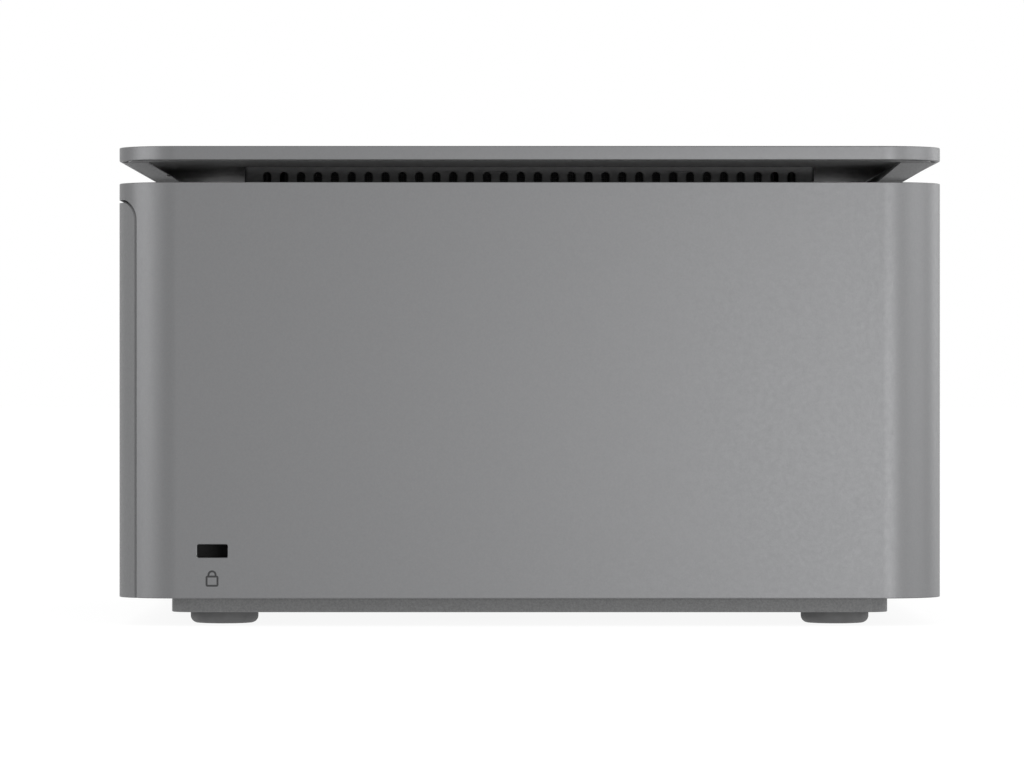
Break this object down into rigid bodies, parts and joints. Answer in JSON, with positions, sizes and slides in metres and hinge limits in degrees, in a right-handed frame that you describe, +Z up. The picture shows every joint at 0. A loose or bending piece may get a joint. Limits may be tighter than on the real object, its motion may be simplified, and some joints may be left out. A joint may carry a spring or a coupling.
{
  "type": "mini pc",
  "caption": "Square desktop mini computer with a lift-off metal cover, a lid floating over side air slots, rubber feet, a lock slot and a full set of inner parts.",
  "frame": {"origin": "on the table, under the middle of the body", "axes": "+Z up, +X to the right seen from the front, +Y to the rear (the ports and the rear panel); the front faces -Y"},
  "size_m": [0.195, 0.19, 0.1102],
  "materials": {
    "shell_metal": "bead-blasted and anodised grey, satin",
    "dark_plastic": "moulded, fine grain",
    "screw_steel": "zinc plated",
    "filter_mesh": "woven black screens in plastic frames",
    "spring_steel": "bright drawn wire",
    "clear_plastic": "frosted light pipe",
    "base_paint": "textured grey powder coat",
    "foot_rubber": "matt moulded",
    "panel_paint": "textured grey powder coat",
    "black_paint": "black coated steel",
    "bracket_steel": "stamped sheet",
    "circuit_board": "solder mask over glass fibre",
    "brass": "turned",
    "ribbon_plastic": "flat flexible cable",
    "nickel_plate": "nickel plated",
    "copper": "copper, lightly brushed",
    "fin_aluminium": "stamped, bare",
    "fan_plastic": "glass-filled",
    "cable_sleeve": "extruded sleeve",
    "socket_plastic": "moulded",
    "socket_metal": "plated sheet",
    "tongue_plastic": "moulded with gold contacts",
    "ferrite": "pressed iron powder"
  },
  "bodies": {
    "chassis": {"base_pan": "base_paint", "rubber_feet": "foot_rubber", "rear_panel": "panel_paint", "base_screws": "screw_steel", "cover_screws": "screw_steel", "lock_bracket": "black_paint", "motherboard": "circuit_board", "board_standoffs": "brass", "board_screws": "screw_steel", "front_io_board": "circuit_board", "front_io_ribbon": "ribbon_plastic", "cpu_backplate": "bracket_steel", "cpu_socket": "bracket_steel", "cpu_package": "nickel_plate", "cold_plate": "copper", "heat_pipes": "copper", "fin_stack": "fin_aluminium", "cooler_screws": "screw_steel", "cpu_fan_frame": "fan_plastic", "cpu_fan_screws": "screw_steel", "cpu_fan_lead": "cable_sleeve", "rear_fan_frame": "fan_plastic", "rear_fan_screws": "screw_steel", "rear_fan_lead": "cable_sleeve", "memory_sockets": "socket_plastic", "memory_modules": "circuit_board", "ssd_module": "circuit_board", "ssd_heatsink": "fin_aluminium", "wifi_card": "circuit_board", "wifi_antennas": "circuit_board", "antenna_leads": "cable_sleeve", "coin_cell": "nickel_plate", "chipset_heatsink": "fin_aluminium", "regulator_heatsink": "fin_aluminium", "power_inductors": "ferrite", "capacitors": "nickel_plate", "dc_inlet": "socket_plastic", "dc_inlet_pin": "nickel_plate", "ethernet_socket": "socket_metal", "rear_usb_sockets": "socket_metal", "video_sockets": "socket_metal", "front_usb_sockets": "socket_metal", "socket_tongues": "tongue_plastic", "audio_jack": "socket_plastic", "switch_body": "bracket_steel"},
    "cover": {"outer_shell": "shell_metal", "lid_plate": "shell_metal", "lid_tray": "shell_metal", "top_deck": "dark_plastic", "deck_screws": "screw_steel", "lid_screws": "screw_steel", "dust_filter": "filter_mesh", "button_bracket": "dark_plastic", "button_spring": "spring_steel", "light_pipe": "clear_plastic"},
    "power_button": {"power_button": "shell_metal"},
    "switch_actuator": {"switch_actuator": "dark_plastic"},
    "cpu_fan_rotor": {"cpu_fan_rotor": "fan_plastic"},
    "rear_fan_rotor": {"rear_fan_rotor": "fan_plastic"}
  },
  "joints": [
    {"name": "cover_lift", "type": "slide", "parent": "chassis", "child": "cover", "axis": [0, 0, 1], "range_m": [0, 0.12]},
    {"name": "power_press", "type": "slide", "parent": "cover", "child": "power_button", "axis": [0, 1, 0], "range_m": [0, 0.0005], "stiffness_N_per_m": 1500, "springref_m": -0.0005, "deforming": ["button_spring"]},
    {"name": "switch_follow", "type": "slide", "parent": "chassis", "child": "switch_actuator", "axis": [0, 1, 0], "range_m": [0, 0.00025]},
    {"name": "cpu_fan_spin", "type": "hinge", "parent": "chassis", "child": "cpu_fan_rotor", "pos_m": [0, 0, 0.0782], "axis": [0, 0, 1], "continuous": true},
    {"name": "rear_fan_spin", "type": "hinge", "parent": "chassis", "child": "rear_fan_rotor", "pos_m": [0.034, 0.0857, 0.062], "axis": [0, 1, 0], "continuous": true}
  ],
  "couplings": [
    {"joint": "switch_follow", "follows": "power_press", "ratio": 0.5}
  ]
}
